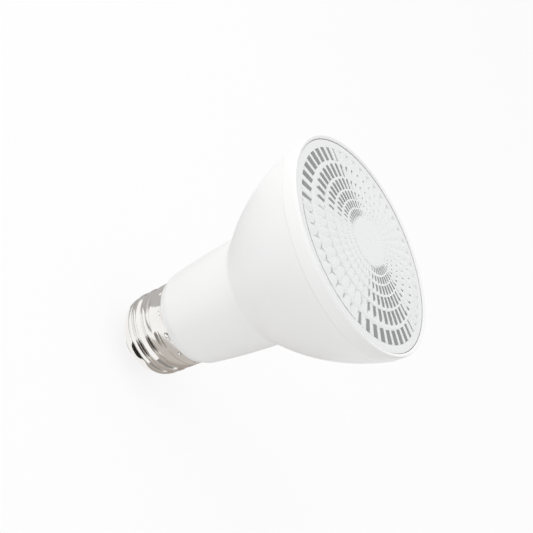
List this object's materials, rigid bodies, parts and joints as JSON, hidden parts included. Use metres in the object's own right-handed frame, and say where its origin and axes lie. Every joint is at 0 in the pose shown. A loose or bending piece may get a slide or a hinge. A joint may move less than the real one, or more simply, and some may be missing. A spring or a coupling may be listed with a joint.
{
  "type": "led reflector bulb",
  "caption": "Flared reflector bulb with a medium Edison screw base, white moulded housing, bezel ring and a clear domed lens in radial and circular fields.",
  "frame": {"origin": "lowest point of the centre contact, on the bulb's axis", "axes": "+Z along the bulb's axis, from the screw base to the lens"},
  "size_m": [0.0635, 0.0634, 0.0859],
  "materials": {
    "nickel_shell": "bright nickel plate, lightly brushed",
    "insulator": "glossy black moulding",
    "contact": "nickel-plated contact",
    "housing_white": "satin white moulding",
    "ring_white": "white moulding",
    "lens_clear": "clear moulding with a field pattern",
    "sink_metal": "pressed aluminium",
    "pad_grey": "grey silicone",
    "board_white": "white mask on aluminium",
    "phosphor": "yellow phosphor on a white base",
    "screw_steel": "zinc-plated steel",
    "card_green": "green laminate",
    "can_black": "black sleeve",
    "can_green": "dark green sleeve",
    "film_yellow": "yellow case",
    "ferrite": "grey ferrite",
    "bobbin_black": "black moulding",
    "winding_tape": "yellow tape over wire",
    "choke_ferrite": "grey ferrite",
    "choke_wire": "enamelled copper wire",
    "chip_black": "black moulding",
    "fuse_beige": "beige coating",
    "varistor_blue": "blue coating",
    "wire_red": "red insulation",
    "wire_white": "white insulation",
    "wire_black": "black insulation"
  },
  "bodies": {
    "root": {"screw_shell": "nickel_shell", "base_insulator": "insulator", "centre_contact": "contact", "housing": "housing_white", "front_ring": "ring_white", "lens": "lens_clear", "heat_sink": "sink_metal", "thermal_pad": "pad_grey", "led_board": "board_white", "led_emitter": "phosphor", "board_screws": "screw_steel", "driver_board": "card_green", "input_capacitor": "can_black", "output_capacitor": "can_green", "film_capacitor": "film_yellow", "transformer_core": "ferrite", "transformer_bobbin": "bobbin_black", "transformer_winding": "winding_tape", "choke_core": "choke_ferrite", "choke_winding": "choke_wire", "bridge_rectifier": "chip_black", "controller_chip": "chip_black", "fuse_resistor": "fuse_beige", "varistor": "varistor_blue", "chip_resistors": "chip_black", "live_wire": "wire_red", "neutral_wire": "wire_white", "led_wire_positive": "wire_red", "led_wire_negative": "wire_black"}
  },
  "joints": []
}
